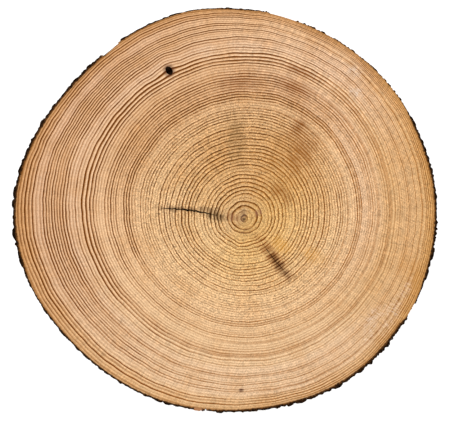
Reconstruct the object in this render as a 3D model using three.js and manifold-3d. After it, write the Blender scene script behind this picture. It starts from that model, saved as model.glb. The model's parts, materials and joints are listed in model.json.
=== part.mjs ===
// A slice sawn across a conifer's trunk, lying on its lower sawn face.
// Millimetres, +Z up. The origin is on the lower face, in the middle of the outline's box.
// The slice is drawn round its pith, the centre of its growth rings, and moved to the origin at the end.
import * as THREE from "three";
import { mergeVertices } from "three/addons/utils/BufferGeometryUtils.js";
import Module from "manifold-3d";

const wasm = await Module();
wasm.setup();

// Driving dimensions.
const THICKNESS = 35;
const MEAN_RADIUS = 144.2; // pith to the outside of the bark, averaged round the trunk
const SPOKES = 240; // corners of the outline
const LAYERS = 7; // rows of bark down the wall

// The trunk grew unevenly: each lobe swells it by height towards direction, and again at its other waves.
const LOBES = [
  { waves: 1, height: 12.5, direction: 156 },
  { waves: 2, height: 3.5, direction: 171 },
  { waves: 3, height: 1.3, direction: 69 },
  { waves: 4, height: 1.1, direction: 7 },
  { waves: 5, height: 0.9, direction: 32 },
  { waves: 6, height: 0.6, direction: 0 },
];

// Furrows between the bark's scales: waves round the trunk, leaning by so many radians a millimetre of height.
const FURROWS = [
  { waves: 17, height: 0.45, lean: 0.03 },
  { waves: 29, height: 0.4, lean: -0.05 },
  { waves: 43, height: 0.3, lean: 0.08 },
];

// Strips where the bark has fallen off, each as deep as the bark was thick there, in degrees and millimetres.
const BARE_STRIPS = [
  { direction: 128, halfWidth: 3.4, depth: 2.2 },
  { direction: 331, halfWidth: 2.6, depth: 1.0 },
];
const STRIP_EDGE = 1.5; // degrees either side of a strip's edge over which the bark thins out

// Heart checks: thin drying cracks near the pith. from, bend and to are places on the upper face.
const HEART_CHECKS = [
  { from: [-18.5, 2.5], bend: [-30, 7], to: [-58, 7.4], width: 1.3, depth: 9 },
  { from: [11.7, -14.7], bend: [20, -28], to: [29.8, -38], width: 1.8, depth: 7 },
];
const BLADE_SEGMENTS = 10; // straight pieces in each side of a check

// The hole left by a dead twig, stretched along the way that the twig lay.
const TWIG_HOLE = { place: [-52.5, 104], radius: 2.5, depth: 8, stretch: 1.25, turn: 35 };
const DRILL_SIDES = 20;
const DRILL_RINGS = 4; // rings of facets in the drill's rounded tip

const OVERCUT = 1; // how far a cutting tool stands clear above the upper face

const radians = THREE.MathUtils.degToRad;

// The shortest way round from one direction to another, in degrees.
function degreesBetween(a, b) {
  return Math.abs(THREE.MathUtils.euclideanModulo(a - b + 180, 360) - 180);
}

function outlineRadius(angle) {
  const swelling = LOBES.map(({ waves, height, direction }) =>
    height * Math.cos(waves * (angle - radians(direction))));
  return swelling.reduce((sum, height) => sum + height, MEAN_RADIUS);
}

function furrowRelief(angle, z) {
  const ripples = FURROWS.map(({ waves, height, lean }) => height * Math.sin(waves * angle + lean * z));
  return ripples.reduce((sum, height) => sum + height, 0);
}

function lostBark(angle) {
  const degrees = THREE.MathUtils.radToDeg(angle);
  return BARE_STRIPS.reduce((lost, { direction, halfWidth, depth }) => {
    const away = degreesBetween(degrees, direction);
    const kept = THREE.MathUtils.smoothstep(away, halfWidth - STRIP_EDGE, halfWidth + STRIP_EDGE);
    return lost + depth * (1 - kept);
  }, 0);
}

// The round block, pulled out at each corner to the trunk's own radius.
function trunkBlock() {
  const block = new THREE.CylinderGeometry(1, 1, THICKNESS, SPOKES, LAYERS);
  block.rotateX(Math.PI / 2);
  block.translate(0, 0, THICKNESS / 2);
  const place = block.getAttribute("position");
  for (let i = 0; i < place.count; i++) {
    const [x, y, z] = [place.getX(i), place.getY(i), place.getZ(i)];
    const atPith = Math.hypot(x, y) < 0.5;
    if (atPith) continue;
    const angle = Math.atan2(y, x);
    const radius = outlineRadius(angle) + furrowRelief(angle, z) - lostBark(angle);
    place.setXYZ(i, radius * Math.cos(angle), radius * Math.sin(angle), z);
  }
  return block;
}

// A lens-shaped blade that stands in the upper face and bows through its bend.
function checkBlade({ from, bend, to, width, depth }) {
  const [start, middle, end] = [from, bend, to].map(([x, y]) => new THREE.Vector2(x, y));
  const across = end.clone().sub(start).normalize().rotateAround(new THREE.Vector2(), Math.PI / 2);
  const left = middle.clone().addScaledVector(across, width);
  const right = middle.clone().addScaledVector(across, -width);
  const plan = new THREE.Shape();
  plan.moveTo(start.x, start.y);
  plan.quadraticCurveTo(right.x, right.y, end.x, end.y);
  plan.quadraticCurveTo(left.x, left.y, start.x, start.y);
  const options = { depth: depth + OVERCUT, bevelEnabled: false, curveSegments: BLADE_SEGMENTS };
  return new THREE.ExtrudeGeometry(plan, options).translate(0, 0, THICKNESS - depth);
}

// A round-ended drill that reaches down into the upper face.
function twigDrill({ place, radius, depth, stretch, turn }) {
  const tip = new THREE.EllipseCurve(0, 0, radius, depth, -Math.PI / 2, 0).getPoints(DRILL_RINGS);
  tip[0].x = 0; // the profile starts and ends exactly on the axis
  const profile = [...tip, new THREE.Vector2(radius, OVERCUT), new THREE.Vector2(0, OVERCUT)];
  const drill = new THREE.LatheGeometry(profile, DRILL_SIDES);
  drill.rotateX(Math.PI / 2);
  drill.scale(1, stretch, 1);
  drill.rotateZ(radians(turn));
  return drill.translate(place[0], place[1], THICKNESS);
}

function asSolid(geometry) {
  const bare = geometry.clone();
  bare.deleteAttribute("normal");
  bare.deleteAttribute("uv");
  const merged = mergeVertices(bare);
  return new wasm.Manifold(new wasm.Mesh({
    numProp: 3,
    vertProperties: merged.getAttribute("position").array,
    triVerts: new Uint32Array(merged.index.array),
  }));
}

function asGeometry(solid) {
  const { vertProperties, triVerts } = solid.getMesh();
  const geometry = new THREE.BufferGeometry();
  geometry.setAttribute("position", new THREE.BufferAttribute(vertProperties, 3));
  geometry.setIndex(new THREE.BufferAttribute(triVerts, 1));
  geometry.computeVertexNormals();
  return geometry;
}

function sliceGeometry() {
  const cutters = [...HEART_CHECKS.map(checkBlade), twigDrill(TWIG_HOLE)];
  const cut = cutters.reduce((solid, cutter) => solid.subtract(asSolid(cutter)), asSolid(trunkBlock()));
  const geometry = asGeometry(cut);
  geometry.computeBoundingBox();
  const middle = geometry.boundingBox.getCenter(new THREE.Vector3());
  return geometry.translate(-middle.x, -middle.y, 0);
}

const sawnWood = new THREE.MeshStandardMaterial({ color: "#d9a877", roughness: 0.8, metalness: 0 });
const slice = new THREE.Mesh(sliceGeometry(), sawnWood);
slice.name = "wood_slice";

const woodSlice = new THREE.Group();
woodSlice.add(slice);

export default woodSlice;
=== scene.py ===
"""A slice sawn across a conifer's trunk, with its growth rings and bark, on a plain pale floor.

Lengths are in metres, as Blender's units are, except where a name or comment says millimetres.
The rings and the bark are worked out in millimetres from the pith, the middle of the growth rings,
and in directions counted from +X towards +Y.
"""

import json
import math
import random

import bpy
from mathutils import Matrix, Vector


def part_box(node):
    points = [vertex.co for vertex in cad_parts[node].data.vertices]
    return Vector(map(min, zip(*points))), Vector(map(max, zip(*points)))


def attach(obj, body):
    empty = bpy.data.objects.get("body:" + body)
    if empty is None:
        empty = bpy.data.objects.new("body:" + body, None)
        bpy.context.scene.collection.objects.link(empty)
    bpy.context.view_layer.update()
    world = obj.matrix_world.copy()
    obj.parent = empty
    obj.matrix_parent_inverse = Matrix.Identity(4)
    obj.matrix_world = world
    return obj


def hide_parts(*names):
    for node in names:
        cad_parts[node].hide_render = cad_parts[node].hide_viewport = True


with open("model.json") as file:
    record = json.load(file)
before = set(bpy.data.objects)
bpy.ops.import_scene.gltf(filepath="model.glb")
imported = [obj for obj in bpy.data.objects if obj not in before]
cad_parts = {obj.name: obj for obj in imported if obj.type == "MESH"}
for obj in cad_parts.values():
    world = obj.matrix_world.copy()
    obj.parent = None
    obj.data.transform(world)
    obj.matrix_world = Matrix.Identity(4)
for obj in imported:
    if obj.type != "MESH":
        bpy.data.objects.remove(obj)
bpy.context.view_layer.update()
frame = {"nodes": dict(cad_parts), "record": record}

bl_info = {
    "name": "Wood slice",
    "version": (1, 0, 0),
    "blender": (4, 5, 0),
    "location": "3D View > Sidebar > Wood Slice",
    "description": "Models a slice of a conifer's trunk with growth rings, heart checks and flaky bark",
    "category": "Object",
}

MM = 0.001
NODE = "wood_slice"
PIECE = "sawn_trunk_slice"

# ------------------------------------------------------------ read from the frame

LOW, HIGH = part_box(NODE)
MIDDLE = (LOW + HIGH) / 2
THICKNESS = HIGH.z - LOW.z
PITH = Vector(next(m["pos_m"] for m in frame["record"]["mounts"] if m["name"] == "upper_face"))
CLEAR_OF_BARK = 0.88 * (HIGH.y - LOW.y) / 2  # nearer the pith than this there is only wood
MOST_WAVES = 6  # the outline is read as lobes of one to six waves
CUT_GAP = 12 * MM  # points of different cuts are further apart than this


def read_outline():
    """The outline's mean radius, and the cosine and sine parts of each of its lobes, in mm."""
    corners = {}
    for vertex in frame["nodes"][NODE].data.vertices:
        arm = vertex.co - PITH
        if vertex.co.z > HIGH.z - MM and arm.xy.length > CLEAR_OF_BARK:
            angle = math.atan2(arm.y, arm.x)
            corners[round(angle, 3)] = (angle, arm.xy.length / MM)
    rim = list(corners.values())
    mean = sum(radius for _, radius in rim) / len(rim)
    lobes = {}
    for waves in range(1, MOST_WAVES + 1):
        along = sum(radius * math.cos(waves * angle) for angle, radius in rim)
        across = sum(radius * math.sin(waves * angle) for angle, radius in rim)
        lobes[waves] = (2 * along / len(rim), 2 * across / len(rim))
    return mean, lobes


def read_cuts():
    """The blind cuts in the upper face, each as the list of its points below the face."""
    points = [v.co.copy() for v in frame["nodes"][NODE].data.vertices]
    points = [p for p in points if LOW.z + MM < p.z < HIGH.z - MM and (p - PITH).xy.length < CLEAR_OF_BARK]
    cuts = []
    for point in points:
        near = [cut for cut in cuts if any((point - other).xy.length < CUT_GAP for other in cut)]
        cuts = [cut for cut in cuts if cut not in near]
        cuts.append([point] + [other for cut in near for other in cut])
    return cuts


def ends_of(cut):
    """The two points of a cut that are furthest apart, the one nearer the pith first."""
    pair = max(((a, b) for a in cut for b in cut), key=lambda ab: (ab[0] - ab[1]).xy.length)
    return sorted(pair, key=lambda end: (end - PITH).xy.length)


MEAN_RADIUS, OUTLINE = read_outline()
CUTS = read_cuts()
TWIG_HOLE = min(CUTS, key=lambda cut: (ends_of(cut)[1] - ends_of(cut)[0]).xy.length)
HEART_CHECKS = sorted((cut for cut in CUTS if cut is not TWIG_HOLE), key=lambda cut: cut[0].x)
TWIG_PLACE = sum(TWIG_HOLE, Vector()) / len(TWIG_HOLE)
TWIG = (TWIG_PLACE - PITH) / MM  # the dead twig's hole, in mm from the pith

# ------------------------------------------------------------ how the trunk grew, in millimetres

# The rings' own lobes, as (waves, height, direction). The young trunk's lobes grow in step with the rings,
# the middle years' come in later, and the last years' are whatever the outline then still needs.
YOUNG_LOBES = ((1, 14.5, 75), (2, 1.3, 13), (3, 1.2, 58), (4, 0.8, 79))
MIDDLE_LOBES = ((1, 12.7, 194), (2, 3.6, 125))
MIDDLE_POWER = 3
LAST_POWER = 8
GROWTH_TRIES = 4  # answers tried for a point's growth

# Bark round the trunk, as (direction, thickness). Where it is thin, wood shows between its crumbs.
BARK = (
    (0, 2.7), (20, 2.7), (31, 1.8), (40, 0.35), (60, 0.25), (84, 0.3), (92, 1.4), (105, 0.9), (112, 1.6),
    (124, 1.8), (133, 2.9), (160, 3.2), (190, 3.1), (200, 1.7), (215, 1.8), (235, 2.0), (262, 2.4),
    (275, 2.8), (300, 3.2), (325, 3.4), (331, 1.2), (338, 1.5), (343, 2.3), (360, 2.7),
)
THICKEST_BARK = 4.0
# Strips that have lost their bark, as (direction, half width in degrees).
BARE_STRIPS = ((128, 3.3), (331.5, 1.6), (79, 4.5), (258.6, 0.7))
SLIVER = (256.4, 1.2)  # a torn strip of wood that still stands in the bark, the same
SAW_LIE = 60  # degrees: the way that the last saw strokes ran

# Years that laid down dark latewood: (growth, half width, darkness, darkest direction, one-sidedness).
# Growth runs from 0 at the pith to 1 at the bark.
DARK_YEARS = (
    (0.105, 0.006, 0.75, 90, 0.2),
    (0.144, 0.008, 0.95, 120, 0.3),
    (0.184, 0.008, 0.80, 70, 0.5),
    (0.243, 0.011, 1.00, 95, 0.4),
    (0.281, 0.007, 0.90, 150, 0.3),
    (0.318, 0.007, 0.75, 60, 0.5),
    (0.358, 0.008, 0.90, 80, 0.4),
    (0.387, 0.009, 0.90, 20, 0.2),
    (0.447, 0.010, 0.70, 90, 0.6),
    (0.466, 0.008, 0.80, 60, 0.5),
    (0.549, 0.009, 1.00, 100, 0.5),
    (0.566, 0.008, 0.90, 110, 0.5),
    (0.604, 0.007, 0.65, 120, 0.7),
    (0.634, 0.010, 0.75, 115, 0.8),
    (0.655, 0.008, 0.60, 125, 0.7),
    (0.708, 0.009, 0.95, 115, 0.85),
    (0.728, 0.010, 1.00, 135, 0.85),
    (0.747, 0.009, 0.90, 140, 0.85),
    (0.812, 0.008, 0.55, 165, 0.8),
    (0.860, 0.012, 0.65, 165, 0.8),
    (0.890, 0.010, 0.75, 160, 0.8),
    (0.942, 0.009, 0.85, 130, 0.5),
    (0.960, 0.009, 0.90, 150, 0.5),
)

# Hard years, whose latewood is one broad line on one side of the trunk:
# (growth, half width, direction, darkness).
HARD_YEARS = (
    (0.905, 0.0045, 355, 0.90),
    (0.928, 0.0040, 350, 0.95),
    (0.950, 0.0050, 345, 1.00),
    (0.972, 0.0045, 0, 0.95),
    (0.835, 0.0045, 320, 0.50),
    (0.702, 0.0045, 320, 0.60),
    (0.726, 0.0055, 325, 0.75),
    (0.750, 0.0050, 325, 0.70),
    (0.660, 0.0060, 340, 0.60),
    (0.615, 0.0055, 330, 0.55),
    (0.560, 0.0060, 345, 0.60),
    (0.500, 0.0055, 0, 0.55),
)

# Runs of years that are all dark on one side of the trunk: (first, last, direction, darkness).
DARK_SPELLS = (
    (0.53, 0.67, 110, 0.70),
    (0.70, 0.76, 130, 0.70),
    (0.80, 0.91, 165, 0.85),
    (0.93, 0.98, 165, 0.80),
    (0.10, 0.50, 60, 0.60),
)
# Runs of years that stayed pale and pinkish on one side: the same, with a strength.
PALE_SPELLS = (
    (0.90, 0.935, 175, 0.65),
    (0.77, 0.88, 10, 0.60),
    (0.79, 0.92, 250, 0.80),
    (0.80, 0.92, 318, 0.50),
    (0.57, 0.68, 40, 0.40),
    (0.77, 0.81, 140, 0.30),
)


def linear(hex_colour):
    """A web colour as the linear red, green and blue that Blender's sockets take."""
    channels = [int(hex_colour[i:i + 2], 16) / 255 for i in (1, 3, 5)]
    return tuple(c / 12.92 if c <= 0.04045 else ((c + 0.055) / 1.055) ** 2.4 for c in channels)


# ------------------------------------------------------------ node trees written as expressions


class Value:
    """An output of a node. Python's operators on it add Math nodes to its tree."""

    def __init__(self, tree, socket):
        self.tree = tree
        self.socket = socket

    def math(self, operation, *others):
        return self.tree.add("ShaderNodeMath", {"operation": operation}, dict(enumerate((self, *others))))

    def after(self, operation, first):
        return self.tree.add("ShaderNodeMath", {"operation": operation}, {0: first, 1: self})

    def __add__(self, other):
        return self.math("ADD", other)

    def __radd__(self, other):
        return self.after("ADD", other)

    def __sub__(self, other):
        return self.math("SUBTRACT", other)

    def __rsub__(self, other):
        return self.after("SUBTRACT", other)

    def __mul__(self, other):
        return self.math("MULTIPLY", other)

    def __truediv__(self, other):
        return self.math("DIVIDE", other)

    def __pow__(self, other):
        return self.math("POWER", other)

    def __abs__(self):
        return self.math("ABSOLUTE")

    def rise(self, start, end):
        """0 up to start, 1 from end, and a smooth step between them."""
        inputs = {"Value": self, "From Min": start, "From Max": end}
        return self.tree.add("ShaderNodeMapRange", {"interpolation_type": "SMOOTHSTEP"}, inputs)

    def fall(self, start, end):
        """1 up to start, 0 from end, and a smooth step between them."""
        inputs = {"Value": self, "From Min": start, "From Max": end, "To Min": 1, "To Max": 0}
        return self.tree.add("ShaderNodeMapRange", {"interpolation_type": "SMOOTHSTEP"}, inputs)

    def output(self, name):
        """Another output of the same node."""
        return Value(self.tree, self.socket.node.outputs[name])


class Tree:
    """A node tree that nodes are added to."""

    def __init__(self, tree):
        self.tree = tree

    def add(self, kind, settings=None, inputs=None):
        """Adds a node, sets it up, then fills or links its sockets. Returns its first output in use."""
        node = self.tree.nodes.new(kind)
        for name, value in (settings or {}).items():
            if name == "stops":
                place_stops(node.color_ramp, value)
            elif name == "curve":
                place_points(node.mapping, value)
            else:
                setattr(node, name, value)
        for key, value in (inputs or {}).items():
            used = [s for s in node.inputs if s.enabled and s.name == key]
            socket = node.inputs[key] if isinstance(key, int) else used[0]
            if isinstance(value, Value):
                self.tree.links.new(value.socket, socket)
            elif socket.type == "RGBA":
                socket.default_value = (*value, 1)
            else:
                socket.default_value = value
        used = [s for s in node.outputs if s.enabled]
        return Value(self, used[0]) if used else None

    def vector(self, x, y, z):
        return self.add("ShaderNodeCombineXYZ", None, {"X": x, "Y": y, "Z": z})

    def noise(self, place, size, detail=2, roughness=0.5):
        """Cloudy values round 0.5, whose clouds are about size across. The seed is in the place."""
        inputs = {"Vector": place, "Scale": 1 / size, "Detail": detail, "Roughness": roughness}
        return self.add("ShaderNodeTexNoise", None, inputs)

    def mix(self, factor, first, second):
        """Colours mixed by a factor."""
        return self.add("ShaderNodeMix", {"data_type": "RGBA"}, {"Factor": factor, "A": first, "B": second})

    def brighten(self, colour, factor):
        return self.add("ShaderNodeVectorMath", {"operation": "SCALE"}, {"Vector": colour, "Scale": factor})


def place_stops(ramp, stops):
    """Sets a colour ramp to a list of (position, colour)."""
    ramp.interpolation = "EASE"
    for position, colour in stops[1:-1]:
        ramp.elements.new(position).color = (*colour, 1)
    for element, (position, colour) in ((ramp.elements[0], stops[0]), (ramp.elements[-1], stops[-1])):
        element.position = position
        element.color = (*colour, 1)


def place_points(mapping, points):
    """Draws a curve node's curve through a list of (x, y)."""
    curve = mapping.curves[0]
    for x, y in points[1:-1]:
        curve.points.new(x, y)
    curve.points[0].location = points[0]
    curve.points[-1].location = points[-1]
    for point in curve.points:
        point.handle_type = "AUTO_CLAMPED"
    mapping.update()


# ------------------------------------------------------------ fields that the shape and the finishes share


def as_lobe(waves, along, across):
    """A lobe as (waves, height, direction), from its cosine and sine parts."""
    return waves, math.hypot(along, across), math.degrees(math.atan2(across, along)) / waves


class Trunk:
    """Where a point is in the trunk, for a geometry tree or a material: x, y and reach are in mm from the
    pith, height in mm from the lower face, and angle, cosine and sine give its direction from the pith."""

    def __init__(self, tree, place):
        self.tree = tree
        axes = tree.add("ShaderNodeSeparateXYZ", None, {"Vector": place})
        self.x = (axes.output("X") - PITH.x) / MM
        self.y = (axes.output("Y") - PITH.y) / MM
        self.height = (axes.output("Z") - LOW.z) / MM
        self.reach = (self.x * self.x + self.y * self.y + 1e-6) ** 0.5
        self.cosine = self.x / self.reach
        self.sine = self.y / self.reach
        self.angle = self.y.math("ARCTAN2", self.x)
        self.turn = (self.angle / math.tau).math("FRACT")

    def lobes(self, table, start=0.0):
        """The swelling that a table of (waves, height, direction) gives at this point's angle."""
        total = start
        for waves, height, direction in table:
            wave = self.angle.math("MULTIPLY_ADD", waves, -waves * math.radians(direction)).math("COSINE")
            total = wave.math("MULTIPLY_ADD", height, total)
        return total

    def outline(self):
        """How far out the bark reaches at this point's angle."""
        return self.lobes([as_lobe(waves, *parts) for waves, parts in OUTLINE.items()], MEAN_RADIUS)

    def bark_thickness(self):
        """How thick the bark is at this point's angle."""
        curve = [(direction / 360, thickness / THICKEST_BARK) for direction, thickness in BARK]
        part = self.tree.add("ShaderNodeFloatCurve", {"curve": curve}, {"Value": self.turn})
        return part * THICKEST_BARK

    def facing(self, direction):
        """1 towards a direction, 0 the opposite way, with a slow wave between them."""
        wave = self.angle.math("ADD", -math.radians(direction)).math("COSINE")
        return wave * 0.5 + 0.5

    def degrees_from(self, direction):
        """How far this point's direction is from another, the shorter way round, in degrees."""
        away = (self.angle - math.radians(direction)).math("WRAP", math.pi, -math.pi)
        return abs(away) * math.degrees(1)

    def around(self, size, tall):
        """This point's place on a plain cylinder, in steps of size round it and of tall up it."""
        side = MEAN_RADIUS / size
        return self.tree.vector(self.cosine * side, self.sine * side, self.height / tall)

    def clouds(self, seed, size, detail=2, roughness=0.5):
        """Noise in the plane of the slice, the same at every height. Each use has a seed of its own."""
        return self.tree.noise(self.tree.vector(self.x, self.y, seed), size, detail, roughness)

    def wrapped(self, size, tall, detail=2, roughness=0.5):
        """Noise wrapped round the trunk, with clouds of a size round it and of another up it."""
        return self.tree.noise(self.around(size, tall), 1, detail, roughness)


class Bark:
    """The relief and the marks of the bark at a point of the trunk."""

    def __init__(self, trunk, plate_width, plate_height):
        tree = trunk.tree
        self.thickness = trunk.bark_thickness()
        place = trunk.around(plate_width, plate_height)
        sway = trunk.wrapped(14, 22, 3, 0.6).output("Color")
        sway = tree.add("ShaderNodeVectorMath", {"operation": "SUBTRACT"}, {0: sway, 1: (0.5, 0.5, 0.5)})
        pushed = {0: sway, 1: (1.7, 1.7, 1.7), 2: place}
        place = tree.add("ShaderNodeVectorMath", {"operation": "MULTIPLY_ADD"}, pushed)
        cells = {"Vector": place, "Scale": 1}
        edge = tree.add("ShaderNodeTexVoronoi", {"feature": "DISTANCE_TO_EDGE"}, cells)
        cell = tree.add("ShaderNodeTexVoronoi", {"feature": "F1"}, cells).output("Color")
        chance = tree.add("ShaderNodeSeparateXYZ", None, {"Vector": cell})
        self.plate = edge.rise(0.0, 0.26)
        self.chance = chance.output("X")
        self.flaked = chance.output("Y").fall(0.12, 0.2) * edge.rise(0.05, 0.15)
        self.grain = trunk.wrapped(1.6, 2.6, 3, 0.6)
        crumbs = trunk.wrapped(2.4, 4.5, 2, 0.5)
        patches = (trunk.wrapped(7, 9, 3, 0.6) - 0.5) * 3
        self.thin = (self.thickness + patches).fall(0.35, 0.85) * self.thickness.fall(1.1, 1.5)
        self.crumb = crumbs.rise(0.47, 0.56) * self.thin
        ragged = (trunk.wrapped(3.5, 5.0, 2, 0.6) - 0.5) * 7 + trunk.height.fall(3, 26) * 2.5
        self.lost = 0.0
        for direction, half_width in BARE_STRIPS:
            inside = (trunk.degrees_from(direction) + ragged).fall(half_width - 0.4, half_width + 0.4)
            self.lost = inside.math("MAXIMUM", self.lost)
        plates = 0.62 + self.plate * (0.27 + self.chance * 0.25) - self.flaked * 0.22
        whole = self.thickness * plates + (self.grain - 0.5) * self.thickness * 0.35
        whole = whole + self.crumb * 0.9
        direction, half_width = SLIVER
        torn = trunk.degrees_from(direction) + ragged * 0.3
        self.sliver = torn.fall(half_width - 0.2, half_width + 0.2)
        whole = whole + (self.thickness * 0.9 - whole) * self.sliver
        self.relief = whole * (1 - self.lost) + 0.1


def ring_growth(trunk):
    """How far out through the trunk's growth a point lies: 0 at the pith, 1 at the bark. Lobes of the rings
    depend on the growth that is sought, so it is found by trying the last answer again."""
    tree = trunk.tree
    last = []
    for waves, (along, across) in OUTLINE.items():
        for table in (YOUNG_LOBES, MIDDLE_LOBES):
            for _, height, direction in (lobe for lobe in table if lobe[0] == waves):
                along -= height * math.cos(waves * math.radians(direction))
                across -= height * math.sin(waves * math.radians(direction))
        last.append(as_lobe(waves, along, across))
    young = trunk.lobes(YOUNG_LOBES, MEAN_RADIUS)
    middle = trunk.lobes(MIDDLE_LOBES)
    late = trunk.lobes(last)
    # Slow waves along the rings, a ripple from wide rays, and the bend of the rings round the dead twig.
    sway = (trunk.clouds(0.0, 30) - 0.5) * 2.5
    spokes = tree.vector(trunk.cosine * 9, trunk.sine * 9, trunk.reach / 60)
    ray = (tree.noise(spokes, 1) - 0.5) * 1.4
    distance = TWIG.xy.length
    along = (trunk.x * TWIG.x + trunk.y * TWIG.y) / distance - distance
    across = (trunk.x * -TWIG.y + trunk.y * TWIG.x) / distance
    bend = abs(across).fall(0, 13) * along.rise(-4, 2) * along.fall(4, 20) * 1.6
    wobble = (trunk.clouds(9.0, 10) - 0.5) * (trunk.reach.fall(50, 100) + 0.35)
    knurl = (trunk.clouds(15.0, 7) - 0.5) * trunk.reach.fall(8, 45) * 2.6
    reach = trunk.reach + sway + wobble + knurl + ray * (trunk.reach / MEAN_RADIUS) - bend
    growth = reach / MEAN_RADIUS
    for _ in range(GROWTH_TRIES):
        stretch = young + middle * growth ** (MIDDLE_POWER - 1) + late * growth ** (LAST_POWER - 1)
        growth = (reach / stretch).math("MINIMUM", 1.1)
    return growth


# ------------------------------------------------------------ finishes


SHEEN = 0.05  # dry wood and bark hardly shine


def new_material(name):
    """An empty node material, its tree and its place on the object."""
    material = bpy.data.materials.new(name)
    material.use_nodes = True
    material.node_tree.nodes.clear()
    tree = Tree(material.node_tree)
    place = tree.add("ShaderNodeTexCoord").output("Object")
    return material, tree, place


def finish_with(tree, colour, roughness, relief_mm):
    """Ends a material in a plain matt shader, with its relief as a bump in mm."""
    bump = tree.add("ShaderNodeBump", None, {"Height": relief_mm, "Distance": MM, "Strength": 1})
    inputs = {"Base Color": colour, "Roughness": roughness, "Normal": bump, "Specular IOR Level": SHEEN}
    shader = tree.add("ShaderNodeBsdfPrincipled", None, inputs)
    tree.add("ShaderNodeOutputMaterial", None, {"Surface": shader})


def spot(trunk, x, y, long, wide, turn, soft=0.7):
    """1 in the middle of a soft-edged oval patch, 0 outside it. Its long axis lies at turn degrees."""
    cosine = math.cos(math.radians(turn))
    sine = math.sin(math.radians(turn))
    along = ((trunk.x - x) * cosine + (trunk.y - y) * sine) / long
    across = ((trunk.y - y) * cosine - (trunk.x - x) * sine) / wide
    away = (along * along + across * across) ** 0.5
    return away.fall(1 - soft, 1 + soft)


# Stains on the wood, in mm from the pith: (x, y, half length, half width, turn, depth, colour).
STAINS = (
    (-20.5, 2.6, 6.5, 3.2, 165, 1.00, "#462808"),
    (-40.0, 7.0, 22.0, 1.6, 178, 0.65, "#5A3413"),
    (-7.0, 1.0, 5.0, 2.2, 175, 0.55, "#8E5A3C"),
    (9.0, 4.5, 3.5, 2.4, 40, 0.50, "#94604A"),
    (-0.5, 2.5, 2.0, 5.5, 0, 0.60, "#6E5240"),
    (0.0, -9.0, 4.0, 3.0, 20, 0.35, "#7E5236"),
    (27.5, 17.5, 8.0, 4.5, 140, 0.60, "#8C4C0C"),
    (40.0, 46.0, 13.0, 7.0, 60, 0.62, "#8C4C10"),
    (38.0, 64.0, 8.0, 4.5, 60, 0.65, "#84460C"),
    (30.0, 37.0, 28.0, 16.0, 52, 0.30, "#AE6E28"),
    (-6.0, 56.0, 17.0, 6.0, 95, 0.50, "#745026"),
    (36.0, 92.0, 11.0, 4.5, -22, 0.50, "#8A4A14"),
    (-3.0, 95.0, 13.0, 5.0, 5, 0.35, "#8A4A14"),
    (38.0, 104.0, 9.0, 3.0, -22, 0.35, "#8A4A14"),
    (20.5, -26.5, 16.5, 4.4, -52, 0.85, "#8A4608"),
    (24.5, -32.0, 10.0, 2.8, -52, 0.85, "#4A2000"),
    (25.5, -17.5, 6.5, 4.0, -35, 0.45, "#DE9A34"),
    (49.0, -26.0, 8.0, 5.0, -25, 0.35, "#DE9C40"),
    (118.0, -40.0, 18.0, 7.0, -65, 0.35, "#CC8B40"),
    (-2.0, -119.5, 1.6, 1.2, 10, 1.00, "#4E1C0C"),
)
SMALL_STAIN = 3  # a stain whose half length is under this has a clean edge
# Where torn fibres left the wood pale, with a painted highlight on them: the same, without a colour.
PALE_FIBRES_AND_GLINTS = (
    (77.5, 103.0, 5.0, 3.4, 20, 0.8),
    (78.0, 89.0, 4.4, 3.0, -30, 0.8),
    (103.0, -66.0, 13.0, 4.0, 65, 0.55),
    (91.0, -68.0, 10.0, 3.5, 50, 0.60),
    (88.0, -80.0, 8.0, 4.0, 60, 0.45),
    (113.0, -50.0, 10.0, 2.5, 65, 0.40),
)


class Warped:
    """A trunk's x and y, pushed about by noise so that what is drawn with them gets ragged edges."""

    def __init__(self, trunk, size, push):
        cloud = trunk.clouds(8.0, size, 3, 0.65).output("Color")
        axes = trunk.tree.add("ShaderNodeSeparateXYZ", None, {"Vector": cloud})
        self.x = trunk.x + (axes.output("X") - 0.5) * push
        self.y = trunk.y + (axes.output("Y") - 0.5) * push


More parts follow.
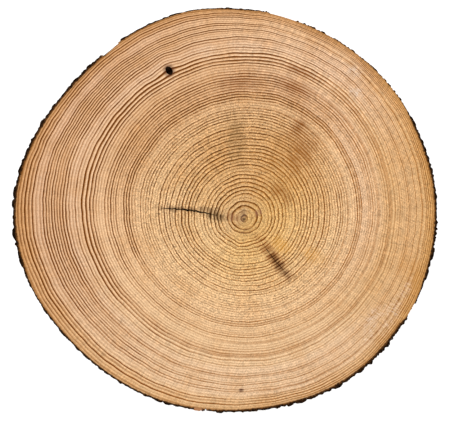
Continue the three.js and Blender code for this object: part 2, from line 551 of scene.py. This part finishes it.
class Years:
    """The growth rings at a point of the trunk. Growth runs from 0 at the pith to 1 at the bark, season
    from 0 to 1 through each year, and ring says how strongly the year's dark latewood shows."""

    def __init__(self, trunk, settings):
        tree = trunk.tree
        growth = ring_growth(trunk)
        self.trunk = trunk
        self.growth = growth
        # Rings are wide in the young trunk and close up outwards.
        uneven = (tree.noise(tree.vector(growth * 9, 0.0, 3.7), 1, 1) - 0.5) * 1.6
        years = growth * (settings.young_rate + growth * (settings.rate_gain - growth * 18)) + uneven
        years = years - growth.rise(0.69, 0.77) * 1.7  # a few good years, with wide rings
        self.season = years.math("FRACT")
        which = {"W": years.math("FLOOR")}
        chance = tree.add("ShaderNodeTexWhiteNoise", {"noise_dimensions": "1D"}, which)
        self.darkness = self.find_darkness(chance)

        # Latewood builds up through the year and ends sharply. Its line fades and breaks along the ring.
        start = 0.25 + growth.fall(0.2, 0.6) * 0.25
        latewood = self.season.rise(start, 0.82) * self.season.fall(0.90, 1.0)
        fading = trunk.clouds(11.0, 22, 3).rise(0.30, 0.62) * 0.35 + 0.65
        broken = trunk.clouds(13.0, 3.5, 2, 0.6).rise(0.28, 0.60)
        fading = fading * (1 - (1 - broken) * (growth.fall(0.35, 0.75) * 0.4 + 0.2))
        ring = (latewood * self.darkness * fading * 1.95).math("MINIMUM", 1.0)
        for middle, half_width, direction, dark in HARD_YEARS:
            line = abs(growth - middle).fall(half_width * 0.2, half_width)
            line = line * trunk.facing(direction).rise(0.35, 0.8)
            ring = (line * dark * fading).math("MAXIMUM", ring)
        self.ring = ring

    def find_darkness(self, chance):
        """How dark each year's latewood is: by chance, or by the named years and the dark spells."""
        trunk = self.trunk
        growth = self.growth
        leaning = trunk.facing(125) * 0.5 + 0.5 + growth.fall(0.3, 0.5) * 0.35
        darkness = (chance * chance * 0.75 + 0.20) * leaning
        for middle, half_width, dark, direction, one_sided in DARK_YEARS:
            near = abs(growth - middle).fall(half_width * 0.5, half_width * 1.2)
            side = trunk.facing(direction) * one_sided + (1 - one_sided)
            darkness = (near * side * dark).math("MAXIMUM", darkness)
        for first, last, direction, dark in DARK_SPELLS:
            spell = self.between(first, last, direction) * (chance * 0.4 + 0.6)
            darkness = (spell * dark).math("MAXIMUM", darkness)
        return darkness

    def between(self, first, last, direction):
        """1 in the wood of a run of years, on one side of the trunk."""
        run = self.growth.rise(first - 0.02, first + 0.01) * self.growth.fall(last - 0.01, last + 0.02)
        return run * self.trunk.facing(direction).rise(0.55, 0.95)


class Marks:
    """What the sawn face shows besides its rings: rays, grain and saw marks, each a swing round 0."""

    def __init__(self, trunk):
        tree = trunk.tree
        spokes = tree.vector(trunk.cosine * 105, trunk.sine * 105, trunk.reach / 40)
        self.rays = tree.noise(spokes, 1, 3, 0.65) - 0.5
        self.fine = trunk.clouds(1.0, 0.9, 2, 0.8) - 0.5
        self.coarse = trunk.clouds(2.0, 2.6, 2, 0.7) - 0.5
        cosine = math.cos(math.radians(SAW_LIE))
        sine = math.sin(math.radians(SAW_LIE))
        across = trunk.x * sine - trunk.y * cosine
        along = trunk.x * cosine + trunk.y * sine
        teeth = tree.noise(tree.vector(across / 0.8, along / 9, 0.0), 1, 2, 0.6) - 0.5
        self.hatch = tree.noise(tree.vector(across / 6, along / 0.9, 4.0), 1, 2, 0.6) - 0.5
        self.sawing = teeth + self.hatch


class BarkSection:
    """The cut edge of the bark on a sawn face."""

    def __init__(self, trunk):
        tree = trunk.tree
        ragged = (trunk.wrapped(1.8, 9.0, 3, 0.7) - 0.5) * 1.6
        self.trunk = trunk
        self.thickness = trunk.bark_thickness()
        self.beyond = trunk.reach - (trunk.outline() - self.thickness) + ragged  # mm outside the wood
        place = tree.vector(trunk.cosine * 70, trunk.sine * 70, trunk.reach / 0.6)
        self.layers = tree.noise(place, 1, 2, 0.6)

    def over(self, colour):
        """The wood's colour with the bark's beyond it: rusty where they meet, darker outwards."""
        tree = self.trunk.tree
        colour = tree.mix(self.beyond.rise(-2.2, -0.2) * 0.35, colour, linear("#A56F35"))
        cork = tree.mix(self.layers.rise(0.40, 0.62), linear("#3A220F"), linear("#8A5626"))
        skin = tree.mix(self.layers.rise(0.45, 0.7), linear("#120903"), linear("#3A230E"))
        cork = tree.mix((self.beyond / (self.thickness + 0.4)).rise(0.0, 0.5), cork, skin)
        colour = tree.mix(self.beyond.rise(-0.2, 0.5), colour, cork)
        direction, half_width = SLIVER
        sliver = self.trunk.degrees_from(direction).fall(half_width - 0.2, half_width + 0.2)
        return tree.mix(sliver * self.beyond.rise(-0.2, 0.4), colour, linear("#B98258"))


def early_wood(years, settings):
    """The wood between the lines: golden at the heart, paler and pinker outside, tanned under the bark."""
    trunk = years.trunk
    tree = trunk.tree
    growth = years.growth
    season = years.season
    stops = [
        (0.0, linear("#DDB27C")),
        (0.20, linear("#ECC490")),
        (0.42, settings.heart_colour),
        (0.60, linear("#EBC195")),
        (0.78, settings.outer_colour),
        (0.92, linear("#E9BF94")),
        (1.0, linear("#D29E68")),
    ]
    colour = tree.add("ShaderNodeValToRGB", {"stops": stops}, {"Fac": growth})
    for first, last, direction, strength in PALE_SPELLS:
        colour = tree.mix(years.between(first, last, direction) * strength, colour, linear("#E8C5A8"))

    wide_side = trunk.facing(165).rise(0.4, 1.0) * growth.rise(0.6, 0.95)
    pale_side = trunk.facing(265).rise(0.5, 1.0) * growth.rise(0.3, 0.7)
    slow_side = trunk.facing(0).rise(0.75, 1.0) * growth.rise(0.5, 0.8)
    run_place = tree.vector(growth * 16, trunk.facing(80) * 0.6, 6.0)
    brown_runs = tree.noise(run_place, 1, 2, 0.6).rise(0.48, 0.66)
    brown_runs = brown_runs * growth.rise(0.45, 0.7) * (trunk.facing(160) * 0.7 + 0.3)
    above_pith = growth.rise(0.05, 0.2) * growth.fall(0.35, 0.55) * trunk.facing(80).rise(0.45, 0.95)
    golden_heart = growth.fall(0.15, 0.5) * trunk.facing(325).rise(0.2, 0.8)
    brown_belt = abs(growth - 0.60).fall(0.05, 0.16) * trunk.facing(110).rise(0.55, 0.95)
    into_latewood = season.rise(0.10, 0.70) * season.fall(0.92, 1.0) * years.darkness
    tints = (
        (wide_side * 0.45, "#CA986C"),
        (pale_side * 0.5, "#EEC898"),
        (slow_side * 0.6, "#D8A55E"),
        (trunk.clouds(5.0, 17, 3).rise(0.45, 0.70) * 0.25, "#D29A5E"),
        (brown_runs * 0.38, "#C89260"),
        (above_pith * 0.45, "#C88E4C"),
        (golden_heart * 0.5, "#E8B86C"),
        (brown_belt * 0.35, "#C08E5C"),
        (into_latewood * 0.5, "#CF8C3C"),
    )
    for strength, tint in tints:
        colour = tree.mix(strength, colour, linear(tint))
    return colour


def late_wood(years, settings):
    """The dark lines: rusty on the trunk's slow side, deepest where they are strong on its wide side."""
    trunk = years.trunk
    tree = trunk.tree
    stops = [(0.0, linear("#824800")), (0.45, settings.latewood_colour), (1.0, linear("#804000"))]
    colour = tree.add("ShaderNodeValToRGB", {"stops": stops}, {"Fac": years.growth})
    rusty = trunk.facing(335).rise(0.3, 0.8) * years.growth.rise(0.4, 0.6)
    colour = tree.mix(rusty, colour, linear("#985812"))
    deep = years.ring.rise(0.5, 0.95) * trunk.facing(135).rise(0.3, 0.9)
    return tree.mix(deep * 0.8, colour, linear("#683600"))


def brightness(years, marks):
    """How bright the sawn wood is, from its grain and saw marks: partly their own tone and partly painted
    light and shade of their relief.
    """
    trunk = years.trunk
    growth = years.growth
    grit = growth.fall(0.40, 0.75) * 2.2 + 1.15
    shade = 1.03 + growth.rise(0.4, 0.7) * trunk.facing(130) * 0.13
    # The grain's, rays' and saw marks' swings are partly the wood's own tone and partly painted light and
    # shade of their relief.
    shade = shade + marks.fine * grit + marks.coarse * 0.3 * grit
    shade = shade + marks.rays * growth.rise(0.3, 0.7) * 0.45
    sawn = trunk.facing(35).rise(0.5, 0.95) * growth.rise(0.35, 0.7) * 0.75
    sawn = sawn + trunk.facing(260).rise(0.5, 1.0) * growth.rise(0.6, 0.8) * 0.5 + 0.15
    fresh = years.season.fall(0.02, 0.45) * 0.10 * growth.fall(0.97, 1.0)
    shade = shade + marks.sawing * sawn * 1.3 + fresh
    return shade.math("MAXIMUM", 0.3)


def with_stains(colour, years, marks):
    """The wood's colour with its pith and, near the upper face, stains, torn fibres with painted
    highlights, a dead knot.
    """
    trunk = years.trunk
    tree = trunk.tree
    growth = years.growth
    warped = Warped(trunk, 5.0, 9.0)
    upper = trunk.height.rise(10, 20)
    smear_place = tree.vector(growth * 55, trunk.facing(145) * 9, 17.0)
    smears = tree.noise(smear_place, 1, 2, 0.6).rise(0.35, 0.62) * 0.9 + 0.45
    for x, y, long, wide, turn, depth, tint in STAINS:
        if long < SMALL_STAIN:
            patch = spot(trunk, x, y, long, wide, turn)
        else:
            patch = spot(warped, x, y, long, wide, turn) * smears
        patch = patch * (marks.fine * 1.5 + 1) * depth * upper * (0.6 + years.ring * 1.1)
        colour = tree.mix(patch.math("MINIMUM", 1.0), colour, linear(tint))
    # Pale torn fibres on the raised saw hatch and grain, with a painted highlight on them.
    flecks = (marks.hatch * 0.8 + marks.coarse * 0.5 + marks.fine * 0.5).rise(-0.12, 0.30)
    for x, y, long, wide, turn, depth in PALE_FIBRES_AND_GLINTS:
        patch = spot(warped, x, y, long, wide, turn) * flecks * depth * upper
        colour = tree.mix(patch, colour, linear("#EFE0D0"))
    colour = tree.mix(spot(trunk, 0, 0, 1.1, 0.9, 0) * 0.8, colour, linear("#3E2210"))
    mottled = (marks.coarse * 2 + marks.fine).rise(0.0, 0.5) * growth.fall(0.05, 0.14)
    colour = tree.mix(mottled * 0.6, colour, linear("#6E4420"))
    knot = spot(trunk, TWIG.x, TWIG.y, 4.0, 4.6, 20, 0.3)
    return tree.mix(knot * upper * 0.6, colour, linear("#5B3426"))


def painted_shade_in_cuts(trunk):
    """1 on the walls down in the checks and the twig hole, which get painted shade, 0 on the sawn faces."""
    depth = THICKNESS / MM - trunk.height
    inside = depth.rise(0.05, 0.9) * trunk.height.rise(2, 4)
    return inside * (CLEAR_OF_BARK / MM - trunk.reach).rise(0, 1)


def end_grain(settings):
    """Sawn across the grain: rings, rays, saw marks, stains, painted shade down in the checks, and the cut
    edge of the bark.
    """
    material, tree, place = new_material("sawn_end_grain")
    trunk = Trunk(tree, place)
    years = Years(trunk, settings)
    marks = Marks(trunk)
    section = BarkSection(trunk)

    colour = tree.mix(years.ring, early_wood(years, settings), late_wood(years, settings))
    colour = tree.brighten(colour, brightness(years, marks))
    colour = with_stains(colour, years, marks)
    # Painted shade: the walls down in the checks and the twig hole are darkened towards a deep brown.
    colour = tree.mix(painted_shade_in_cuts(trunk) * 0.85, colour, linear("#2E180D"))
    colour = section.over(colour)

    on_bark = section.beyond.rise(0.0, 0.6)
    relief = years.ring * 0.12 + marks.rays * 0.06 + marks.fine * 0.16 + marks.sawing * 0.12
    relief = relief + on_bark * (section.layers - 0.5) * 0.5
    roughness = 0.72 - years.ring * 0.12 + on_bark * 0.18
    finish_with(tree, colour, roughness, relief)
    return material


def bark_face(settings):
    """The outside of the trunk: dull scaly plates, rusty furrows darkened partly with painted shade, and
    bare wood where the bark is lost.
    """
    material, tree, place = new_material("scaly_bark")
    trunk = Trunk(tree, place)
    bark = Bark(trunk, settings.plate_width / MM, settings.plate_height / MM)

    blotches = trunk.wrapped(5, 8, 4, 0.7)
    plates = tree.mix(blotches.rise(0.35, 0.65), linear("#38281E"), settings.bark_colour)
    plates = tree.mix(bark.chance * 0.30, plates, linear("#7C6350"))
    lichen = trunk.wrapped(3.0, 4.0, 3, 0.7)
    plates = tree.mix(lichen.rise(0.60, 0.72) * 0.35, plates, linear("#8E8170"))
    # The furrows between the plates and the darkening towards each plate's edge: partly the bark's own
    # colour, partly painted shade.
    colour = tree.mix(bark.plate * 0.85 + 0.15, settings.furrow_and_shade_colour, plates)
    colour = tree.mix(bark.flaked * 0.45, colour, linear("#6E452E"))
    colour = tree.mix(bark.grain.fall(0.30, 0.45) * 0.6, colour, linear("#1B120D"))
    colour = tree.mix(bark.grain.rise(0.55, 0.72) * 0.45, colour, linear("#9A8268"))

    # Bare wood, with its fibres running up the trunk.
    fibres = trunk.wrapped(0.9, 18, 3, 0.6)
    weathered = trunk.wrapped(8, 20, 3, 0.6)
    wood = tree.mix(fibres.rise(0.35, 0.65), linear("#A9743F"), linear("#D2A26A"))
    wood = tree.mix(weathered.rise(0.45, 0.70) * 0.6, wood, linear("#8A5A34"))
    bare = (bark.thin * (1 - bark.crumb)).math("MAXIMUM", bark.lost).math("MAXIMUM", bark.sliver)
    colour = tree.mix(bare, colour, wood)

    relief = (bark.grain - 0.5) * 0.5 * (1 - bare) + (fibres - 0.5) * 0.25 * bare
    finish_with(tree, colour, 0.92 - bare * 0.18, relief)
    return material


# ------------------------------------------------------------ modelling helpers


def start_piece(name):
    """Names the primitive that was just added."""
    piece = bpy.context.active_object
    piece.name = piece.data.name = name
    return piece


def only(piece):
    """Selects one object and makes it the active one."""
    bpy.ops.object.select_all(action="DESELECT")
    piece.select_set(True)
    bpy.context.view_layer.objects.active = piece


def pick(piece, kind, test):
    """Goes into edit mode with only the vertices, edges or faces that pass a test selected."""
    if piece.mode == "EDIT":
        bpy.ops.object.mode_set(mode="OBJECT")
    only(piece)
    bpy.ops.object.mode_set(mode="EDIT")
    bpy.ops.mesh.select_mode(type=kind)
    bpy.ops.mesh.select_all(action="DESELECT")
    bpy.ops.object.mode_set(mode="OBJECT")
    mesh = piece.data
    for element in {"VERT": mesh.vertices, "EDGE": mesh.edges, "FACE": mesh.polygons}[kind]:
        element.select = test(element)
    bpy.ops.object.mode_set(mode="EDIT")


def apply_place(piece):
    """Gives an object's place, turn and size to its mesh."""
    only(piece)
    bpy.ops.object.transform_apply(location=True, rotation=True, scale=True)


def cut_away(piece, cutter):
    """Takes the cutter's shape out of the piece, and the cutter out of the scene."""
    only(piece)
    bpy.ops.object.modifier_add(type="BOOLEAN")
    modifier = piece.modifiers[-1]
    modifier.operation = "DIFFERENCE"
    modifier.solver = "EXACT"
    modifier.object = cutter
    bpy.ops.object.modifier_apply(modifier=modifier.name)
    only(cutter)
    bpy.ops.object.delete()


# ------------------------------------------------------------ the slice

RIM_STEPS = (0.5, 0.7, 1.0, 1.6, 2.4)  # mm between the rows of faces inside the rim
CHECK_STATIONS = 26  # pieces that a check's blade is bent in
BLADE_ABOVE = 2 * MM  # how far a blade stands above the upper face
SAME_STATION = 0.01 * MM
CHECK_OPENINGS = (1.0, 0.3)  # how far each check opens, of the width of the frame's plain cut

UPRIGHT = 0.6  # a face whose normal rises or falls less than this stands upright
SMOOTH_UNDER = 50  # degrees: sharper edges than this stay sharp

# The map laid out for baking the finishes on, in parts of its width.
MAP_GAP = 0.004
MAP_FACE = 0.672  # the upper face
BARK_STRIPS = 3
STRIP_HEIGHT = 0.108


def sawn_blank(settings):
    """A round block with fine rows up its wall and inside both rims."""
    bpy.ops.object.select_all(action="DESELECT")
    bpy.ops.mesh.primitive_cylinder_add(
        vertices=settings.columns, radius=MEAN_RADIUS * MM, depth=THICKNESS, end_fill_type="NGON",
        location=(PITH.x, PITH.y, MIDDLE.z),
    )
    blank = start_piece(PIECE)
    apply_place(blank)
    pick(blank, "FACE", lambda face: abs(face.normal.z) > 0.9)
    for step in RIM_STEPS:
        bpy.ops.mesh.inset(thickness=step * MM, depth=0)
    bpy.ops.object.mode_set(mode="OBJECT")
    return blank


def add_wall_rows(blank, rows):
    """Divides the block's upright edges, so that the bark's relief has points to move."""
    points = blank.data.vertices

    def upright(edge):
        lower, upper = (points[i].co for i in edge.vertices)
        return abs(upper.z - lower.z) > 0.9 * THICKNESS

    pick(blank, "EDGE", upright)
    bpy.ops.mesh.subdivide(number_cuts=rows - 1)
    bpy.ops.object.mode_set(mode="OBJECT")


def check_blade(cut, opening, seed):
    """A ragged blade that tapers to both ends and to its lower edge, bowed as the frame's cut is."""
    start, end = ends_of(cut)
    way = (end - start).xy
    length = way.length
    side = Vector((-way.y, way.x)) / length
    halfway = [p for p in cut if abs((p - start).xy.dot(way) / length**2 - 0.5) < 0.08]
    bows = [(p - start).xy.dot(side) for p in halfway]
    bow = (max(bows) + min(bows)) / 2
    width = (max(bows) - min(bows)) * opening
    depth = HIGH.z - start.z
    bpy.ops.object.select_all(action="DESELECT")
    bpy.ops.mesh.primitive_cube_add(size=1)
    blade = start_piece("check_blade")
    blade.scale = (length, width, depth + BLADE_ABOVE)
    blade.location = (length / 2, 0, (BLADE_ABOVE - depth) / 2)
    apply_place(blade)
    points = blade.data.vertices

    def lengthwise(edge):
        near, far = (points[i].co for i in edge.vertices)
        return abs(near.x - far.x) > MM

    pick(blade, "EDGE", lengthwise)
    bpy.ops.mesh.subdivide(number_cuts=CHECK_STATIONS - 1)
    ragged = random.Random(seed)
    for station in range(CHECK_STATIONS + 1):
        part = station / CHECK_STATIONS
        x = part * length
        taper = max(0.12, math.sin(math.pi * part) ** 0.6)
        middle = bow * 4 * part * (1 - part) + ragged.uniform(-0.35, 0.35) * width * taper
        pick(blade, "VERT", lambda point: abs(point.co.x - x) < SAME_STATION)
        bpy.ops.transform.resize(value=(1, taper * ragged.uniform(0.6, 1.3), 1), center_override=(x, 0, 0))
        bpy.ops.transform.translate(value=(0, middle, 0))
        pick(blade, "VERT", lambda point: abs(point.co.x - x) < SAME_STATION and point.co.z < -MM)
        bpy.ops.transform.resize(value=(1, 0.25, 1), center_override=(x, middle, 0))
        bpy.ops.transform.translate(value=(0, 0, depth * 0.7 * (1 - taper)))
    bpy.ops.object.mode_set(mode="OBJECT")
    blade.rotation_euler.z = math.atan2(way.y, way.x)
    blade.location = (start.x, start.y, HIGH.z)
    apply_place(blade)
    return blade


def twig_drill():
    """A lumpy egg, a little longer and narrower than the frame's plain hole."""
    near, far = ends_of(TWIG_HOLE)
    length = (far - near).xy.length
    depth = HIGH.z - min(point.z for point in TWIG_HOLE)
    bpy.ops.object.select_all(action="DESELECT")
    bpy.ops.mesh.primitive_ico_sphere_add(subdivisions=3, radius=1)
    drill = start_piece("twig_drill")
    drill.scale = (length / 2 * 1.1, length / 2 * 0.85, depth)
    drill.rotation_euler.z = math.atan2((far - near).y, (far - near).x)
    drill.location = (TWIG_PLACE.x, TWIG_PLACE.y, HIGH.z)
    apply_place(drill)
    bpy.ops.object.mode_set(mode="EDIT")
    bpy.ops.mesh.select_all(action="SELECT")
    bpy.ops.transform.vertex_random(offset=0.3 * MM, seed=5)
    bpy.ops.object.mode_set(mode="OBJECT")
    return drill


def grow_to_outline(blank, settings):
    """Moves the wall and the rim out to the trunk's own outline, with the bark's relief."""
    group = bpy.data.node_groups.new("trunk_outline", "GeometryNodeTree")
    group.interface.new_socket("Geometry", in_out="INPUT", socket_type="NodeSocketGeometry")
    group.interface.new_socket("Geometry", in_out="OUTPUT", socket_type="NodeSocketGeometry")
    tree = Tree(group)
    shape = tree.add("NodeGroupInput")
    trunk = Trunk(tree, tree.add("GeometryNodeInputPosition"))
    bark = Bark(trunk, settings.plate_width / MM, settings.plate_height / MM)
    inset = MEAN_RADIUS - trunk.reach
    # The bark's relief dies away inside the rim, and the rim itself is chipped.
    surface = bark.relief + (bark.thickness - bark.relief) * inset.rise(0.3, 2.4)
    reach = trunk.outline() - bark.thickness + surface - inset
    broken = trunk.wrapped(1.8, 400, 2, 0.6).rise(0.45, 0.75) * inset.fall(0.2, 1.0)
    at_top = trunk.height.rise(THICKNESS / MM - 0.02, THICKNESS / MM - 0.01)
    at_bottom = trunk.height.fall(0.01, 0.02)
    height = trunk.height + broken * (at_bottom - at_top) * 0.6
    target = tree.vector(
        trunk.cosine * reach * MM + PITH.x, trunk.sine * reach * MM + PITH.y, height * MM + LOW.z
    )
    near_rim = inset.math("LESS_THAN", sum(RIM_STEPS) + 0.5)
    inputs = {"Geometry": shape, "Selection": near_rim, "Position": target}
    tree.add("NodeGroupOutput", None, {"Geometry": tree.add("GeometryNodeSetPosition", None, inputs)})
    only(blank)
    bpy.ops.object.modifier_add(type="NODES")
    blank.modifiers[-1].node_group = group
    bpy.ops.object.modifier_apply(modifier=blank.modifiers[-1].name)


def is_wall(face):
    """Whether a face is on the outside of the trunk."""
    return abs(face.normal.z) < UPRIGHT and (face.center - PITH).xy.length > CLEAR_OF_BARK


def unrolled(corners, turn):
    """Places on the map for a face of the bark that lies that part of a turn round the trunk."""
    strip = int(turn * BARK_STRIPS)
    places = []
    for corner in corners:
        arm = corner - PITH
        own = math.atan2(arm.y, arm.x) / math.tau
        own += round(turn - own)
        u = MAP_GAP + (own * BARK_STRIPS - strip) * (1 - 2 * MAP_GAP)
        v = 1 - (strip + 1) * STRIP_HEIGHT + (corner.z - LOW.z) / THICKNESS * (STRIP_HEIGHT - MAP_GAP)
        places.append((u, v))
    return places


def lay_out_map(piece):
    """A map laid out for baking the finishes on: the upper face large, the lower face small, and the bark
    unrolled into strips."""
    mesh = piece.data
    layer = mesh.uv_layers.new(name="OFBake")
    upper = MAP_FACE / (HIGH.x - LOW.x)
    lower = (1 - MAP_FACE - 3 * MAP_GAP) / (HIGH.x - LOW.x)
    for face in mesh.polygons:
        corners = [mesh.vertices[i].co for i in face.vertices]
        flat = [(c.x - LOW.x, c.y - LOW.y) for c in corners]
        if is_wall(face):
            arm = face.center - PITH
            places = unrolled(corners, math.atan2(arm.y, arm.x) / math.tau % 1)
        elif face.normal.z < -UPRIGHT:
            places = [(1 - MAP_GAP - x * lower, MAP_GAP + y * lower) for x, y in flat]
        else:
            places = [(MAP_GAP + x * upper, MAP_GAP + y * upper) for x, y in flat]
        for loop, place in zip(face.loop_indices, places):
            layer.data[loop].uv = place


class SliceSettings(bpy.types.PropertyGroup):
    """What a user would change about the slice: its mesh, bark, rings and colours."""

    columns: bpy.props.IntProperty(
        name="Columns", description="Columns of faces round the bark", default=1200, min=100)
    rows: bpy.props.IntProperty(
        name="Rows", description="Rows of faces up the bark", default=46, min=4)
    plate_width: bpy.props.FloatProperty(
        name="Plate width", description="Usual width of a plate of bark", subtype="DISTANCE",
        unit="LENGTH", default=7.5 * MM, min=MM)
    plate_height: bpy.props.FloatProperty(
        name="Plate height", description="Usual height of a plate of bark", subtype="DISTANCE",
        unit="LENGTH", default=17 * MM, min=MM)
    young_rate: bpy.props.FloatProperty(
        name="Young rings", description="Rings that a whole radius would hold at the pith's ring width",
        default=46)
    rate_gain: bpy.props.FloatProperty(
        name="Ring gain", description="How much closer the rings get outwards", default=48)
    heart_colour: bpy.props.FloatVectorProperty(
        name="Heart", description="Colour of the young wood between its rings", subtype="COLOR",
        default=linear("#EEC594"))
    outer_colour: bpy.props.FloatVectorProperty(
        name="Outer wood", description="Colour of the older wood between its rings", subtype="COLOR",
        default=linear("#EDC8A2"))
    latewood_colour: bpy.props.FloatVectorProperty(
        name="Latewood", description="Colour of the rings' dark lines", subtype="COLOR",
        default=linear("#864800"))
    bark_colour: bpy.props.FloatVectorProperty(
        name="Bark", description="Colour of the lighter bark", subtype="COLOR", default=linear("#6A5140"))
    # Partly the furrows' own colour and partly painted shade.
    furrow_and_shade_colour: bpy.props.FloatVectorProperty(
        name="Furrows", description="Colour between the bark's plates", subtype="COLOR",
        default=linear("#1A0F09"))


class WOODSLICE_OT_slice(bpy.types.Operator):
    """Models the sawn slice with its checks, twig hole, rings and bark"""

    bl_idname = "wood_slice.make_slice"
    bl_label = "Make the slice"

    def execute(self, context):
        settings = context.scene.wood_slice
        if len(HEART_CHECKS) != len(CHECK_OPENINGS):
            raise RuntimeError("the frame's slice doesn't have its two heart checks and twig hole")
        slice_piece = sawn_blank(settings)
        for seed, (cut, opening) in enumerate(zip(HEART_CHECKS, CHECK_OPENINGS)):
            cut_away(slice_piece, check_blade(cut, opening, seed))
        cut_away(slice_piece, twig_drill())
        add_wall_rows(slice_piece, settings.rows)
        grow_to_outline(slice_piece, settings)
        slice_piece.data.materials.clear()
        slice_piece.data.materials.append(end_grain(settings))
        slice_piece.data.materials.append(bark_face(settings))
        pick(slice_piece, "FACE", is_wall)
        slice_piece.active_material_index = 1
        bpy.ops.object.material_slot_assign()
        bpy.ops.object.mode_set(mode="OBJECT")
        only(slice_piece)
        bpy.ops.object.shade_smooth_by_angle(angle=math.radians(SMOOTH_UNDER))
        lay_out_map(slice_piece)
        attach(slice_piece, "root")
        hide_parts(NODE)
        return {"FINISHED"}


# ------------------------------------------------------------ the stage

SENSOR_WIDTH = 36  # mm
CAMERA_OFFSET = 0.0077  # how far the camera stands towards -Y from the slice's middle
FLOOR_SIZE = 8
FLOOR_ROUGHNESS = 0.9
FLOOR_GLOW = 0.6  # keeps the floor an even near-white
LAMP_TILT = 38  # degrees from straight down
LAMP_TURN = 215  # degrees
LAMP_WIDTH = 35  # degrees across, seen from the slice
WHITE = (1, 1, 1, 1)


class StageSettings(bpy.types.PropertyGroup):
    """The floor, light and camera that a user would change."""

    floor_colour: bpy.props.FloatVectorProperty(
        name="Floor", description="Colour of the floor", subtype="COLOR", default=(0.9, 0.9, 0.9))
    sky: bpy.props.FloatProperty(
        name="Sky", description="Strength of the light from all round", default=0.85)
    lamp: bpy.props.FloatProperty(
        name="Lamp", description="Strength of the soft lamp", default=0.55)
    lens: bpy.props.FloatProperty(
        name="Lens", description="Focal length of the camera, in mm", unit="CAMERA", default=120)
    view_width: bpy.props.FloatProperty(
        name="View width", description="What the camera's view spans at the upper face", subtype="DISTANCE",
        unit="LENGTH", default=0.3147)


class WOODSLICE_OT_stage(bpy.types.Operator):
    """Lays the pale floor and sets the soft light and the camera straight above the slice"""

    bl_idname = "wood_slice.make_stage"
    bl_label = "Make the stage"

    def execute(self, context):
        scene = context.scene
        settings = scene.wood_slice_stage
        bpy.ops.object.select_all(action="DESELECT")
        bpy.ops.mesh.primitive_plane_add(size=FLOOR_SIZE, location=(MIDDLE.x, MIDDLE.y, LOW.z))
        floor = start_piece("floor")
        material = bpy.data.materials.new("pale_floor")
        material.use_nodes = True
        shader = material.node_tree.nodes["Principled BSDF"]
        shader.inputs["Base Color"].default_value = (*settings.floor_colour, 1)
        shader.inputs["Roughness"].default_value = FLOOR_ROUGHNESS
        shader.inputs["Emission Color"].default_value = WHITE
        shader.inputs["Emission Strength"].default_value = FLOOR_GLOW
        floor.data.materials.append(material)

        world = bpy.data.worlds.new("soft_room")
        world.use_nodes = True
        background = world.node_tree.nodes["Background"]
        background.inputs["Color"].default_value = WHITE
        background.inputs["Strength"].default_value = settings.sky
        scene.world = world
        tilt = (math.radians(LAMP_TILT), 0, math.radians(LAMP_TURN))
        bpy.ops.object.light_add(type="SUN", rotation=tilt)
        lamp = bpy.context.active_object
        lamp.name = "soft_lamp"
        lamp.data.energy = settings.lamp
        lamp.data.angle = math.radians(LAMP_WIDTH)

        distance = settings.view_width * settings.lens / SENSOR_WIDTH
        place = (MIDDLE.x, MIDDLE.y - CAMERA_OFFSET, HIGH.z + distance)
        bpy.ops.object.camera_add(location=place, rotation=(0, 0, 0))
        camera = bpy.context.active_object
        camera.data.lens = settings.lens
        camera.data.sensor_width = SENSOR_WIDTH
        scene.camera = camera
        scene.view_settings.view_transform = "Standard"
        return {"FINISHED"}


class WOODSLICE_PT_panel(bpy.types.Panel):
    """Lists the slice's operators"""

    bl_idname = "WOODSLICE_PT_panel"
    bl_label = "Wood Slice"
    bl_space_type = "VIEW_3D"
    bl_region_type = "UI"
    bl_category = "Wood Slice"

    def draw(self, context):
        layout = self.layout
        for settings, operator in (
            (context.scene.wood_slice, WOODSLICE_OT_slice),
            (context.scene.wood_slice_stage, WOODSLICE_OT_stage),
        ):
            for name in settings.__annotations__:
                layout.prop(settings, name)
            layout.operator(operator.bl_idname)


CLASSES = (SliceSettings, StageSettings, WOODSLICE_OT_slice, WOODSLICE_OT_stage, WOODSLICE_PT_panel)


def register():
    for each in CLASSES:
        bpy.utils.register_class(each)
    bpy.types.Scene.wood_slice = bpy.props.PointerProperty(type=SliceSettings)
    bpy.types.Scene.wood_slice_stage = bpy.props.PointerProperty(type=StageSettings)


def unregister():
    del bpy.types.Scene.wood_slice_stage
    del bpy.types.Scene.wood_slice
    for each in reversed(CLASSES):
        bpy.utils.unregister_class(each)


def main():
    register()
    bpy.ops.wood_slice.make_stage()
    bpy.ops.wood_slice.make_slice()


if __name__ == "__main__":
    main()
